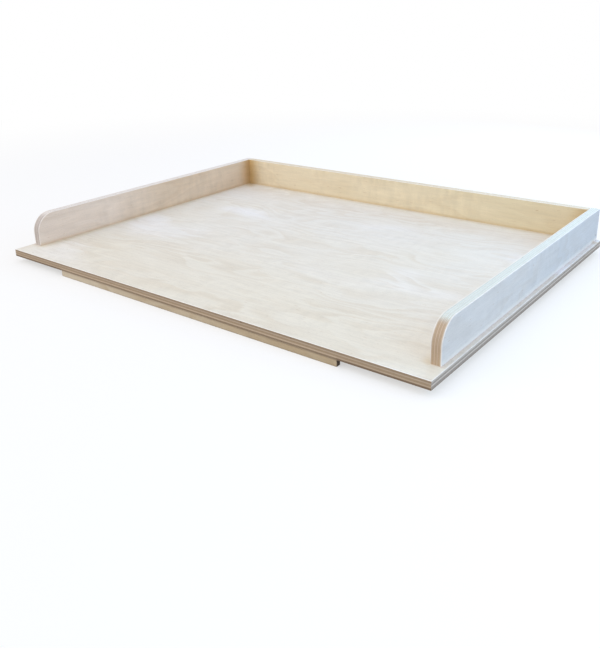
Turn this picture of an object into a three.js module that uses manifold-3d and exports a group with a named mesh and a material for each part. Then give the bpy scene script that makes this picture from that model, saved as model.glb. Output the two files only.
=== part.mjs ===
// Three-sided pastry board in birch plywood.
// A wide work panel carries low walls along its left, rear and right edges, and a stop batten under
// its front edge hooks over the front of a table so that the board can't slide while dough is worked.
// Units are millimetres. +X runs to the right, +Y to the rear and +Z up.
// The origin is the middle of the panel's underside, the face that lies on the table.

import * as THREE from 'three';
import { mergeVertices } from 'three/addons/utils/BufferGeometryUtils.js';
import Module from 'manifold-3d';

// Work panel
const PANEL_WIDTH = 800;
const PANEL_DEPTH = 600;
const PANEL_THICKNESS = 12;

// Walls, all cut from one thickness of plywood
const WALL_HEIGHT = 54;
const WALL_THICKNESS = 15;
const WALL_LEDGE = 7;            // strip of panel left outside each side wall
const WALL_SETBACK = 36;         // from the panel's front edge to the front of a side wall
const WALL_CORNER_RADIUS = 32;   // round on the front top corner of a side wall

// Stop batten under the front edge
const STOP_LENGTH = 545;
const STOP_DEPTH = 8;
const STOP_HEIGHT = 10;
const STOP_SETBACK = 1;          // from the panel's front edge to the front of the batten

// Sanded edges
const ARRIS_RADIUS = 1;

// Countersunk screws driven up through the panel into the walls
const SCREW_LENGTH = 35;
const SCREW_SHANK_DIAMETER = 4;
const SCREW_HEAD_DIAMETER = 8;
const SCREW_HEAD_RIM = 0.6;      // straight edge of the head below its cone
const SCREW_POINT_LENGTH = 6;
const SCREW_SINK = 0.6;          // depth of the head below the panel's underside
const SCREW_FRONT_MARGIN = 44;   // from the front of a side wall to its first screw
const SCREW_REAR_MARGIN = 30;    // from the rear wall's inner face to a side wall's last screw
const SCREW_TO_NAIL = 30;        // along the rear wall, from a nail's point to the first screw
const SIDE_SCREW_COUNT = 4;
const REAR_SCREW_COUNT = 5;

// Panel pins driven up through the stop batten into the panel
const PIN_DIAMETER = 1.6;
const PIN_HEAD_DIAMETER = 3.2;
const PIN_HEAD_THICKNESS = 0.8;
const PIN_POINT_LENGTH = 2.4;
const PIN_SINK = 0.5;
const PIN_COVER = 4;             // wood left between a pin's point and the work face
const PIN_END_MARGIN = 32;
const PIN_COUNT = 5;

// Nails driven through the side walls into the ends of the rear wall
const NAIL_DIAMETER = 1.8;
const NAIL_HEAD_DIAMETER = 3;
const NAIL_HEAD_THICKNESS = 1.2;
const NAIL_POINT_LENGTH = 3;
const NAIL_SINK = 0.6;
const NAIL_BITE = 22;            // length held by the rear wall
const NAIL_EDGE_MARGIN = 10;     // from the wall's top and bottom edges
const NAIL_COUNT = 2;            // at each rear corner

// Looks
const PANEL_COLOUR = '#e9e2d6';
const LEFT_WALL_COLOUR = '#d8ccbc';
const RIGHT_WALL_COLOUR = '#dcd6cc';
const REAR_WALL_COLOUR = '#dcc9a4';
const STOP_COLOUR = '#b9a27e';
const STEEL_COLOUR = '#c8c6bf';
const WOOD_ROUGHNESS = 0.6;
const STEEL_ROUGHNESS = 0.35;
const STEEL_METALNESS = 0.9;

// Fits and smoothness
const BORE_CLEARANCE = 0.3;      // around every screw, pin and nail
const CUT_OVERSHOOT = 2;         // how far a cutting solid stands proud of the face it cuts
const ARRIS_STEPS = 3;
const CORNER_STEPS = 16;
const SCREW_SIDES = 24;
const NAIL_SIDES = 16;

// Places that several pieces share
const panelLeft = -PANEL_WIDTH / 2;
const panelRight = PANEL_WIDTH / 2;
const panelFront = -PANEL_DEPTH / 2;
const panelRear = PANEL_DEPTH / 2;
const wallBottom = PANEL_THICKNESS;
const wallTop = PANEL_THICKNESS + WALL_HEIGHT;
const wallFront = panelFront + WALL_SETBACK;
const leftWallOuter = panelLeft + WALL_LEDGE;
const leftWallInner = leftWallOuter + WALL_THICKNESS;
const rightWallOuter = panelRight - WALL_LEDGE;
const rightWallInner = rightWallOuter - WALL_THICKNESS;
const rearWallInner = panelRear - WALL_THICKNESS;
const rearWallMiddle = panelRear - WALL_THICKNESS / 2;
const stopFront = panelFront + STOP_SETBACK;
const stopRear = stopFront + STOP_DEPTH;
const stopBottom = -STOP_HEIGHT;

const UP = new THREE.Vector3(0, 0, 1);
const TO_RIGHT = new THREE.Vector3(1, 0, 0);
const TO_LEFT = new THREE.Vector3(-1, 0, 0);

const wasm = await Module();
wasm.setup();

// Closed geometry to a solid that can be joined and cut. Triangles that a pole or seam has
// squeezed to a line are left out.
function toSolid(geometry) {
  const bare = geometry.clone();
  bare.deleteAttribute('normal');
  bare.deleteAttribute('uv');
  const merged = mergeVertices(bare);
  const index = merged.index.array;
  const triangles = [];
  for (let i = 0; i < index.length; i += 3) {
    const [a, b, c] = index.subarray(i, i + 3);
    if (a !== b && b !== c && c !== a) triangles.push(a, b, c);
  }
  return new wasm.Manifold(new wasm.Mesh({
    numProp: 3,
    vertProperties: new Float32Array(merged.attributes.position.array),
    triVerts: new Uint32Array(triangles),
  }));
}

function toGeometry(solid) {
  const mesh = solid.getMesh();
  const geometry = new THREE.BufferGeometry();
  geometry.setAttribute('position', new THREE.BufferAttribute(mesh.vertProperties, 3));
  geometry.setIndex(new THREE.BufferAttribute(mesh.triVerts, 1));
  geometry.computeVertexNormals();
  return geometry;
}

// An outline swept straight for a given depth, with its end edges rounded by the arris radius.
function sweep(outline, depth, arris) {
  return new THREE.ExtrudeGeometry(outline, {
    depth: depth - 2 * arris,
    curveSegments: CORNER_STEPS,
    bevelEnabled: arris > 0,
    bevelThickness: arris,
    bevelSize: arris,
    bevelOffset: -arris,
    bevelSegments: ARRIS_STEPS,
  }).translate(0, 0, arris);
}

// An outline drawn as (y, z) and swept along X from one place to another.
function sweepAlongX(outline, start, end, arris = 0) {
  const drawnToFrame = new THREE.Matrix4().makeBasis(
    new THREE.Vector3(0, 1, 0), new THREE.Vector3(0, 0, 1), new THREE.Vector3(1, 0, 0));
  return sweep(outline, end - start, arris).applyMatrix4(drawnToFrame).translate(start, 0, 0);
}

function boxBetween(low, high) {
  const size = new THREE.Vector3().subVectors(high, low);
  const middle = new THREE.Vector3().addVectors(low, high).multiplyScalar(0.5);
  return new THREE.BoxGeometry(size.x, size.y, size.z).translate(middle.x, middle.y, middle.z);
}

// Evenly spaced places from first to last.
function spread(first, last, count) {
  const step = (last - first) / Math.max(count - 1, 1);
  return Array.from({ length: count }, (_, i) => first + i * step);
}

// A fastener is turned from a half profile. Its head's outer face lies at height 0 and it points
// along +Z. With a clearance the same profile gives the bore that it sits in, which starts a lead
// ahead of the head.
function turnedFastener(kind, clearance = 0, lead = 0) {
  const head = kind.headDiameter / 2 + clearance;
  const shank = kind.shankDiameter / 2 + clearance;
  const underHead = kind.headRim + clearance;
  const profile = [
    [0, -lead],
    [head, -lead],
    [head, underHead],
    [shank, underHead + kind.headCone],
    [shank, kind.length - kind.pointLength],
    [0, kind.length + clearance],
  ];
  const points = profile.map(([radius, height]) => new THREE.Vector2(radius, height));
  return new THREE.LatheGeometry(points, kind.sides).rotateX(Math.PI / 2);
}

const wallScrew = {
  length: SCREW_LENGTH,
  shankDiameter: SCREW_SHANK_DIAMETER,
  headDiameter: SCREW_HEAD_DIAMETER,
  headRim: SCREW_HEAD_RIM,
  headCone: (SCREW_HEAD_DIAMETER - SCREW_SHANK_DIAMETER) / 2,   // a right-angled countersink
  pointLength: SCREW_POINT_LENGTH,
  sink: SCREW_SINK,
  sides: SCREW_SIDES,
};

const stopPin = {
  length: STOP_HEIGHT + PANEL_THICKNESS - PIN_SINK - PIN_COVER,
  shankDiameter: PIN_DIAMETER,
  headDiameter: PIN_HEAD_DIAMETER,
  headRim: PIN_HEAD_THICKNESS,
  headCone: 0,
  pointLength: PIN_POINT_LENGTH,
  sink: PIN_SINK,
  sides: NAIL_SIDES,
};

const cornerNail = {
  length: WALL_THICKNESS - NAIL_SINK + NAIL_BITE,
  shankDiameter: NAIL_DIAMETER,
  headDiameter: NAIL_HEAD_DIAMETER,
  headRim: NAIL_HEAD_THICKNESS,
  headCone: 0,
  pointLength: NAIL_POINT_LENGTH,
  sink: NAIL_SINK,
  sides: NAIL_SIDES,
};

// Every fastener with the point of the wood's face where it is driven in and the way it points.
function placeFasteners() {
  const placed = [];
  const add = (name, kind, x, y, z, direction) => {
    placed.push({ name, kind, face: new THREE.Vector3(x, y, z), direction });
  };

  const sideScrewPlaces = spread(
    wallFront + SCREW_FRONT_MARGIN, rearWallInner - SCREW_REAR_MARGIN, SIDE_SCREW_COUNT);
  sideScrewPlaces.forEach((y, i) => {
    add(`left_wall_screw_${i + 1}`, wallScrew, leftWallOuter + WALL_THICKNESS / 2, y, 0, UP);
    add(`right_wall_screw_${i + 1}`, wallScrew, rightWallOuter - WALL_THICKNESS / 2, y, 0, UP);
  });

  const rearScrewInset = NAIL_BITE + SCREW_TO_NAIL;
  const rearScrewPlaces = spread(
    leftWallInner + rearScrewInset, rightWallInner - rearScrewInset, REAR_SCREW_COUNT);
  rearScrewPlaces.forEach((x, i) => {
    add(`rear_wall_screw_${i + 1}`, wallScrew, x, rearWallMiddle, 0, UP);
  });

  const pinReach = STOP_LENGTH / 2 - PIN_END_MARGIN;
  spread(-pinReach, pinReach, PIN_COUNT).forEach((x, i) => {
    add(`stop_pin_${i + 1}`, stopPin, x, (stopFront + stopRear) / 2, stopBottom, UP);
  });

  const nailHeights = spread(wallBottom + NAIL_EDGE_MARGIN, wallTop - NAIL_EDGE_MARGIN, NAIL_COUNT);
  nailHeights.forEach((z, i) => {
    add(`left_corner_nail_${i + 1}`, cornerNail, leftWallOuter, rearWallMiddle, z, TO_RIGHT);
    add(`right_corner_nail_${i + 1}`, cornerNail, rightWallOuter, rearWallMiddle, z, TO_LEFT);
  });
  return placed;
}

// Turns a solid that points along +Z to the fastener's direction and sets it in its hole.
function setInHole(object, { kind, face, direction }) {
  object.quaternion.setFromUnitVectors(UP, direction);
  object.position.copy(face).addScaledVector(direction, kind.sink);
  object.updateMatrix();
  return object;
}

// All bores as one cutting solid. Each runs through the outer piece and on into the piece behind it.
function makeBores(fasteners) {
  return fasteners
    .map((fastener) => {
      const bore = turnedFastener(fastener.kind, BORE_CLEARANCE, fastener.kind.sink + CUT_OVERSHOOT);
      const place = setInHole(new THREE.Object3D(), fastener);
      return toSolid(bore.applyMatrix4(place.matrix));
    })
    .reduce((all, bore) => all.add(bore));
}

function workPanel() {
  const outline = new THREE.Shape();
  outline.moveTo(panelLeft, panelFront);
  outline.lineTo(panelRight, panelFront);
  outline.lineTo(panelRight, panelRear);
  outline.lineTo(panelLeft, panelRear);
  outline.closePath();
  return toSolid(sweep(outline, PANEL_THICKNESS, ARRIS_RADIUS));
}

// A side wall's outline is drawn down past the panel's face and trimmed there, so that only its
// open edges are rounded and its foot stands square on the panel.
function sideWall(left, right) {
  const drawnBottom = wallBottom - CUT_OVERSHOOT - ARRIS_RADIUS;
  const radius = Math.min(WALL_CORNER_RADIUS, WALL_HEIGHT);
  const outline = new THREE.Shape();
  outline.moveTo(panelRear, drawnBottom);
  outline.lineTo(panelRear, wallTop);
  outline.lineTo(wallFront + radius, wallTop);
  outline.absarc(wallFront + radius, wallTop - radius, radius, Math.PI / 2, Math.PI, false);
  outline.lineTo(wallFront, drawnBottom);
  outline.closePath();
  const below = boxBetween(
    new THREE.Vector3(left - CUT_OVERSHOOT, wallFront - CUT_OVERSHOOT, drawnBottom - CUT_OVERSHOOT),
    new THREE.Vector3(right + CUT_OVERSHOOT, panelRear + CUT_OVERSHOOT, wallBottom));
  return toSolid(sweepAlongX(outline, left, right, ARRIS_RADIUS)).subtract(toSolid(below));
}

// The rear wall is caught between the side walls: square ends and foot, rounded top edges.
function rearWall() {
  const outline = new THREE.Shape();
  outline.moveTo(rearWallInner, wallBottom);
  outline.lineTo(panelRear, wallBottom);
  outline.lineTo(panelRear, wallTop - ARRIS_RADIUS);
  outline.absarc(panelRear - ARRIS_RADIUS, wallTop - ARRIS_RADIUS, ARRIS_RADIUS, 0, Math.PI / 2, false);
  outline.lineTo(rearWallInner + ARRIS_RADIUS, wallTop);
  outline.absarc(
    rearWallInner + ARRIS_RADIUS, wallTop - ARRIS_RADIUS, ARRIS_RADIUS, Math.PI / 2, Math.PI, false);
  outline.closePath();
  return toSolid(sweepAlongX(outline, leftWallInner, rightWallInner));
}

// The batten's top lies flat against the panel and its two lower edges are rounded.
function stopBatten() {
  const outline = new THREE.Shape();
  outline.moveTo(stopFront, 0);
  outline.lineTo(stopFront, stopBottom + ARRIS_RADIUS);
  outline.absarc(
    stopFront + ARRIS_RADIUS, stopBottom + ARRIS_RADIUS, ARRIS_RADIUS, Math.PI, 1.5 * Math.PI, false);
  outline.lineTo(stopRear - ARRIS_RADIUS, stopBottom);
  outline.absarc(
    stopRear - ARRIS_RADIUS, stopBottom + ARRIS_RADIUS, ARRIS_RADIUS, 1.5 * Math.PI, 2 * Math.PI, false);
  outline.lineTo(stopRear, 0);
  outline.closePath();
  return toSolid(sweepAlongX(outline, -STOP_LENGTH / 2, STOP_LENGTH / 2));
}

function makeMesh(name, geometry, colour, roughness, metalness) {
  const material = new THREE.MeshStandardMaterial({ color: colour, roughness, metalness });
  const mesh = new THREE.Mesh(geometry, material);
  mesh.name = name;
  return mesh;
}

function woodPieces(bores) {
  const pieces = new THREE.Group();
  const add = (name, solid, colour) => {
    pieces.add(makeMesh(name, toGeometry(solid.subtract(bores)), colour, WOOD_ROUGHNESS, 0));
  };
  add('work_panel', workPanel(), PANEL_COLOUR);
  add('left_wall', sideWall(leftWallOuter, leftWallInner), LEFT_WALL_COLOUR);
  add('right_wall', sideWall(rightWallInner, rightWallOuter), RIGHT_WALL_COLOUR);
  add('rear_wall', rearWall(), REAR_WALL_COLOUR);
  add('stop_batten', stopBatten(), STOP_COLOUR);
  return pieces;
}

function fastenerPieces(fasteners) {
  const pieces = new THREE.Group();
  for (const fastener of fasteners) {
    const geometry = toGeometry(toSolid(turnedFastener(fastener.kind)));
    const mesh = makeMesh(fastener.name, geometry, STEEL_COLOUR, STEEL_ROUGHNESS, STEEL_METALNESS);
    pieces.add(setInHole(mesh, fastener));
  }
  return pieces;
}

const fasteners = placeFasteners();
const board = new THREE.Group();
board.name = 'pastry_board';
board.add(woodPieces(makeBores(fasteners)));
board.add(fastenerPieces(fasteners));

export default board;
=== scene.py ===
# %% [markdown]
# # A plywood pastry board
#
# The board is a wide plywood panel with low walls on three sides and a batten under its front
# edge that hooks over a table. A CAD model gives every piece its place and its size. This lesson
# makes each piece again with sanded edges, real screws, and a plywood finish that shows the plies
# wherever the sheet was cut.

# %% Load the frame
from math import cos, pi, radians, sin

import bmesh
import bpy
from mathutils import Color, Matrix, Vector


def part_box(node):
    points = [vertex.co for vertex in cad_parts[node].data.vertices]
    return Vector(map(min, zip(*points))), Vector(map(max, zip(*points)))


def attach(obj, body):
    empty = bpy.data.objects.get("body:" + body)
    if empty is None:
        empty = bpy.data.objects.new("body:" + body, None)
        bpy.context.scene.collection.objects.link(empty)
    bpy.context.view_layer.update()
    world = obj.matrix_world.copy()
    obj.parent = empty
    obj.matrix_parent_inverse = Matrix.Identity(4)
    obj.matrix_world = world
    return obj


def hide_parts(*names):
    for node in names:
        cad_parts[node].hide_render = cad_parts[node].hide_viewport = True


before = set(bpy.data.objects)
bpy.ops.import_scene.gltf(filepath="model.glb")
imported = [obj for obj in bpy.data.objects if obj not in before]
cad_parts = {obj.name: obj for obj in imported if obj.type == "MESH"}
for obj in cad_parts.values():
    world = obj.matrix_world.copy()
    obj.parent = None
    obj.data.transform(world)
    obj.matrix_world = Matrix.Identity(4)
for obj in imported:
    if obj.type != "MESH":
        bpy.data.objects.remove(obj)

scene = bpy.context.scene
scene.view_settings.view_transform = "Standard"
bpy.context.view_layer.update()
print("CAD nodes:", len(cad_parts))

# %% [markdown]
# ## Millimetres
#
# Blender works in metres here, but plywood, screws and sanded edges are spoken of in millimetres.
# All shapes are therefore drawn in millimetres and scaled down once, when a piece is finished. The
# CAD pieces' boxes are read in millimetres too. X, Y and Z are the places of the coordinates in a
# vector.

# %% Sizes of the CAD pieces in millimetres
MM = 0.001
X, Y, Z = range(3)


def node_box(name):
    low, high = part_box(name)
    return low / MM, high / MM


panel_low, panel_high = node_box("work_panel")
stop_low, stop_high = node_box("stop_batten")
left_low, left_high = node_box("left_wall")
right_low, right_high = node_box("right_wall")
rear_low, rear_high = node_box("rear_wall")
print("panel size in mm:", [round(side, 1) for side in panel_high - panel_low])
print("wall height in mm:", round(left_high.z - left_low.z, 1))

# %% [markdown]
# ## The camera
#
# The camera stands in front of the board's right corner and looks down on it. Its place was found
# by fitting the board's edges to the photograph, so it is written as angles around an aim point
# on the work face. A camera looks along its own -Z axis, so its Z axis points back at the viewer.
# The board lies above the middle of the picture, so the lens is shifted to match.

# %% Camera
IMAGE_WIDTH = 600
IMAGE_HEIGHT = 648
OPTICAL_AXIS = (305.0, 262.0)
FOCAL_LENGTH_PIXELS = 738.31
SENSOR = 36.0
AZIMUTH = radians(37.698)
ELEVATION = radians(19.739)
ROLL = radians(-1.130)
AIM = Vector((51.04, -70.56, 12.0)) * MM
DISTANCE = 1178.96 * MM
FAR_LIMIT = 200.0

backward = Vector((sin(AZIMUTH) * cos(ELEVATION), -cos(AZIMUTH) * cos(ELEVATION), sin(ELEVATION)))
level_right = Vector((0.0, 0.0, 1.0)).cross(backward).normalized()
level_up = backward.cross(level_right)
camera_right = level_right * cos(ROLL) + level_up * sin(ROLL)
camera_up = level_up * cos(ROLL) - level_right * sin(ROLL)

camera_data = bpy.data.cameras.new("photograph_view")
camera_data.sensor_width = SENSOR
camera_data.lens = FOCAL_LENGTH_PIXELS * SENSOR / IMAGE_HEIGHT
camera_data.shift_x = (IMAGE_WIDTH / 2 - OPTICAL_AXIS[0]) / IMAGE_HEIGHT
camera_data.shift_y = (OPTICAL_AXIS[1] - IMAGE_HEIGHT / 2) / IMAGE_HEIGHT
camera_data.clip_end = FAR_LIMIT
camera = bpy.data.objects.new("photograph_view", camera_data)
placing = Matrix((camera_right, camera_up, backward)).transposed().to_4x4()
placing.translation = AIM + backward * DISTANCE
camera.matrix_world = placing
scene.collection.objects.link(camera)
scene.camera = camera
print("lens in mm:", round(camera_data.lens, 2))

# %% [markdown]
# ## Arithmetic on shader sockets
#
# Finishes are made of node trees, and node trees are long to write by hand. A Signal wraps one
# output socket, so that an expression such as `1 - mask * 0.5` adds the Math nodes it needs.
# Colours go through Mix and Vector Math nodes instead, because a Math node would turn them grey.

# %% Signal, a socket that can be added and multiplied
class Signal:
    """An output socket of a node tree. Without a socket it only starts a tree."""

    def __init__(self, tree, socket=None):
        self.tree = tree
        self.socket = socket

    def node(self, kind, settings=None, inputs=None, output=0):
        made = self.tree.nodes.new("ShaderNode" + kind)
        for name, value in (settings or {}).items():
            setattr(made, name, value)
        for name, value in (inputs or {}).items():
            if isinstance(value, Signal):
                self.tree.links.new(value.socket, made.inputs[name])
            else:
                made.inputs[name].default_value = value
        if output is None:
            return None
        if isinstance(output, tuple):
            return [Signal(self.tree, made.outputs[one]) for one in output]
        return Signal(self.tree, made.outputs[output])

    def math(self, operation, first, second=0.0):
        return self.node("Math", {"operation": operation}, {0: first, 1: second})

    def __add__(self, other):
        return self.math("ADD", self, other)

    def __radd__(self, other):
        return self.math("ADD", other, self)

    def __sub__(self, other):
        return self.math("SUBTRACT", self, other)

    def __rsub__(self, other):
        return self.math("SUBTRACT", other, self)

    def __mul__(self, other):
        return self.math("MULTIPLY", self, other)

    def __rmul__(self, other):
        return self.math("MULTIPLY", other, self)

    def __truediv__(self, other):
        return self.math("DIVIDE", self, other)

    def __rtruediv__(self, other):
        return self.math("DIVIDE", other, self)

    def __abs__(self):
        return self.math("ABSOLUTE", self)

    def __gt__(self, other):
        return self.math("GREATER_THAN", self, other)

    def __lt__(self, other):
        return self.math("LESS_THAN", self, other)

    def floor(self):
        return self.math("FLOOR", self)

    def fraction(self):
        return self.math("FRACT", self)

    def remainder(self, other):
        return self.math("FLOORED_MODULO", self, other)

    def root(self):
        return self.math("SQRT", self)

    def smaller(self, other):
        return self.math("MINIMUM", self, other)

    def larger(self, other):
        return self.math("MAXIMUM", self, other)

    def ramp(self, start, end):
        """0 below start, 1 above end, and a smooth step between them."""
        settings = {"interpolation_type": "SMOOTHSTEP"}
        return self.node("MapRange", settings, {0: self, 1: start, 2: end})

    def choose(self, first, second):
        """First where this signal is 0, second where it is 1."""
        return first + self * (second - first)

    def noise(self, detail=2.0, roughness=0.5):
        inputs = {"Vector": self, "Scale": 1.0, "Detail": detail, "Roughness": roughness}
        return self.node("TexNoise", inputs=inputs)

    def swing(self, detail=2.0, roughness=0.5):
        """Noise around 0, from -0.5 to 0.5."""
        return self.noise(detail, roughness) - 0.5

    def mix(self, first, second):
        """First colour where this signal is 0, second colour where it is 1."""
        return self.node("Mix", {"data_type": "RGBA"}, {0: self, 6: first, 7: second}, 2)

    def tinted(self, colour):
        settings = {"operation": "MULTIPLY"}
        return self.node("VectorMath", settings, {0: self, 1: colour})

    def scaled(self, level):
        settings = {"operation": "SCALE"}
        return self.node("VectorMath", settings, {0: self, "Scale": level})


def point(x, y, z):
    """Three signals, or two and a number, as one vector."""
    return x.node("CombineXYZ", inputs={0: x, 1: y, 2: z})


plain_names = [name for name in vars(Signal) if not name.startswith("_")]
print("beside its operators, a Signal has", ", ".join(plain_names))

# %% [markdown]
# ## Floor and light
#
# The board lies in a white studio. A sky gives the light that comes from all sides, and a soft sun
# from the front left stands for the room. A weak sun comes from above. One white lamp would be
# enough to see the board by, but in the photograph the light turns from warm to cool across it. So
# two cool windows stand at the right and at the rear, and a warm lamp at the front left.
#
# The floor and the sky look white to the camera and in reflections, but the floor bounces less
# light than a white one would, so the edges under the board stay dark. Near the board, about half
# of the floor's white glows by itself and the rest takes the shadow. Further away all of it glows,
# so that no horizon shows.

# %% Which rays see the white background
DIRECT_RAYS = ("Is Camera Ray", "Is Glossy Ray", "Is Transmission Ray")


def seen_directly(start):
    camera_ray, glossy_ray, glass_ray = start.node("LightPath", output=DIRECT_RAYS)
    return camera_ray.larger(glossy_ray).larger(glass_ray)


print("rays that see white:", ", ".join(DIRECT_RAYS))

# %% Sky
SKY_LEVEL = 0.56
SKY_COLOUR = (1.0, 0.945, 0.965, 1.0)
WHITE = (1.0, 1.0, 1.0, 1.0)

world = bpy.data.worlds.new("studio")
world.use_nodes = True
world.node_tree.nodes.clear()
scene.world = world
sky = Signal(world.node_tree)
soft_sky = sky.node("Background", inputs={"Color": SKY_COLOUR, "Strength": SKY_LEVEL})
white_sky = sky.node("Background", inputs={"Color": WHITE, "Strength": 1.0})
both_skies = sky.node("MixShader", inputs={0: seen_directly(sky), 1: soft_sky, 2: white_sky})
sky.node("OutputWorld", inputs={"Surface": both_skies}, output=None)
print("sky level:", SKY_LEVEL)

# %% Floor shape
FLOOR_REACH = 60.0

floor_shape = bmesh.new()
bmesh.ops.create_grid(floor_shape, x_segments=1, y_segments=1, size=FLOOR_REACH)
bmesh.ops.translate(floor_shape, vec=(0.0, 0.0, stop_low.z * MM), verts=floor_shape.verts)
floor_mesh = bpy.data.meshes.new("studio_floor")
floor_shape.to_mesh(floor_mesh)
floor_shape.free()
floor = bpy.data.objects.new("studio_floor", floor_mesh)
scene.collection.objects.link(floor)
print("floor at z =", round(stop_low.z * MM, 4))

# %% Floor finish
FLOOR_BOUNCE = (0.42, 0.41, 0.40, 1.0)
FLOOR_GLOW = 0.55
SHADOW_ENDS = (0.8, 1.9)


def new_finish(name):
    """An empty material, and the signal that starts its node tree."""
    finish = bpy.data.materials.new(name)
    finish.use_nodes = True
    finish.node_tree.nodes.clear()
    return finish, Signal(finish.node_tree)


floor_finish, ground = new_finish("studio_floor")
dull = ground.node("BsdfDiffuse", inputs={"Color": FLOOR_BOUNCE})
lit = ground.node("BsdfDiffuse", inputs={"Color": WHITE})
glow = ground.node("Emission", inputs={"Color": WHITE, "Strength": 1.0})
spot = ground.node("TexCoord", output="Object")
away = ground.node("VectorMath", {"operation": "LENGTH"}, {0: spot}, "Value")
glow_share = away.ramp(*SHADOW_ENDS).choose(FLOOR_GLOW, 1.0)
bright = ground.node("MixShader", inputs={0: glow_share, 1: lit, 2: glow})
both_floors = ground.node("MixShader", inputs={0: seen_directly(ground), 1: dull, 2: bright})
ground.node("OutputMaterial", inputs={"Surface": both_floors}, output=None)
floor_mesh.materials.append(floor_finish)
print("floor finish uses", len(floor_finish.node_tree.nodes), "nodes")

# %% Soft suns
def soft_sun(name, toward, tint, level, softness):
    lamp = bpy.data.lights.new(name, "SUN")
    lamp.energy = level * pi
    lamp.color = tint
    lamp.angle = radians(softness)
    holder = bpy.data.objects.new(name, lamp)
    holder.rotation_euler = Vector(toward).to_track_quat("Z", "Y").to_euler()
    scene.collection.objects.link(holder)
    print(name, "level", level)


soft_sun("top_light", toward=(0.1, 0.1, 1.0), tint=(0.75, 0.86, 1.0), level=0.14, softness=60.0)
soft_sun("room_light", toward=(-0.35, -0.70, 0.62), tint=(0.92, 0.98, 1.0), level=0.31, softness=70.0)

# %% Windows and lamp
def softbox(name, place, aim, width, height, tint, watts):
    lamp = bpy.data.lights.new(name, "AREA")
    lamp.shape = "RECTANGLE"
    lamp.size = width
    lamp.size_y = height
    lamp.energy = watts
    lamp.color = tint
    holder = bpy.data.objects.new(name, lamp)
    holder.location = place
    holder.rotation_euler = (Vector(place) - Vector(aim)).to_track_quat("Z", "Y").to_euler()
    scene.collection.objects.link(holder)
    print(name, "watts", watts)


softbox("right_window", place=(1.20, -0.15, 0.50), aim=(0.35, -0.05, 0.03), width=1.1, height=0.7,
        tint=(0.40, 0.71, 1.0), watts=5.2)
softbox("rear_window", place=(0.25, 1.25, 0.55), aim=(0.20, 0.10, 0.0), width=1.0, height=0.7,
        tint=(0.36, 0.68, 1.0), watts=5.6)
softbox("lamp_light", place=(-0.70, -1.20, 0.80), aim=(-0.10, 0.10, 0.0), width=0.8, height=0.8,
        tint=(1.0, 0.82, 0.62), watts=1.8)

# %% [markdown]
# ## Sawn blocks and sanded edges
#
# Every wooden piece starts as a sawn block, so each starts from a cube that is scaled to its box.
# Sanding takes the sharp arrises off. A Bevel modifier could do that to all edges at once, but some
# of them stay square for the glue. So a bevel operator takes only the chosen ones, and a profile of
# 0.5 makes it a true quarter round.

# %% Block and sanding
ARRIS = 0.5
ARRIS_STEPS = 4
CLOSE = 0.01


def sawn_block(low, high):
    shape = bmesh.new()
    bmesh.ops.create_cube(shape, size=1.0)
    bmesh.ops.scale(shape, vec=high - low, verts=shape.verts)
    bmesh.ops.translate(shape, vec=(low + high) / 2, verts=shape.verts)
    return shape


def sand(shape, edges, radius=ARRIS, steps=ARRIS_STEPS):
    bmesh.ops.bevel(shape, geom=edges, offset=radius, offset_type="OFFSET", segments=steps,
                    profile=0.5, affect="EDGES", material=-1, clamp_overlap=True)


def lies_at(edge, axis, value):
    """True where both ends of an edge lie in one plane across an axis."""
    return all(abs(vert.co[axis] - value) < CLOSE for vert in edge.verts)


print("arris radius in mm:", ARRIS)

# %% [markdown]
# ## Boring
#
# The screws, pins and nails sit in bores, and the countersinks show on the underside. A dark disc
# could stand for a hole, but a bored one looks right from all sides, and is in the mesh too. A
# drill is a turned shape: half of its outline is spun once round its axis. A Boolean then takes the
# drills out of the wood, and another one joins a thread to its screw later on. The result is kept as
# a plain mesh, so no modifier is left behind.

# %% Turning an outline
WELD = 0.0005


def turned(outline, sides):
    """A round solid. Its outline is a list of radii and heights that starts and ends on the axis."""
    shape = bmesh.new()
    corners = [shape.verts.new((radius, 0.0, height)) for radius, height in outline]
    edges = [shape.edges.new(pair) for pair in zip(corners, corners[1:])]
    bmesh.ops.spin(shape, geom=corners + edges, cent=(0.0, 0.0, 0.0), axis=(0.0, 0.0, 1.0),
                   angle=2 * pi, steps=sides, use_merge=True, use_duplicate=False)
    bmesh.ops.remove_doubles(shape, verts=shape.verts, dist=WELD)
    bmesh.ops.recalc_face_normals(shape, faces=shape.faces)
    return shape


print("points are welded within mm:", WELD)

# %% Copying, cutting and joining shapes
SOLVER = "EXACT"


def as_mesh(shape):
    mesh = bpy.data.meshes.new("workshop")
    shape.to_mesh(mesh)
    return mesh


def add_copy(target, source, setting):
    """Adds a moved copy of one shape to another."""
    mesh = as_mesh(source)
    mesh.transform(setting)
    target.from_mesh(mesh)
    bpy.data.meshes.remove(mesh)


def combine(shape, tool, operation):
    """Changes a shape by a Boolean with a tool shape."""
    held = []
    for part in (shape, tool):
        holder = bpy.data.objects.new("workshop", as_mesh(part))
        scene.collection.objects.link(holder)
        held.append(holder)
    boolean = held[0].modifiers.new("combining", "BOOLEAN")
    boolean.operation = operation
    boolean.solver = SOLVER
    boolean.object = held[1]
    ready = held[0].evaluated_get(bpy.context.evaluated_depsgraph_get())
    result = bpy.data.meshes.new_from_object(ready)
    shape.clear()
    shape.from_mesh(result)
    bpy.data.meshes.remove(result)
    for holder in held:
        bpy.data.meshes.remove(holder.data)


def cut(shape, tool):
    combine(shape, tool, "DIFFERENCE")


def join(shape, tool):
    combine(shape, tool, "UNION")


print("shapes are cut and joined by the solver", SOLVER)

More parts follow.
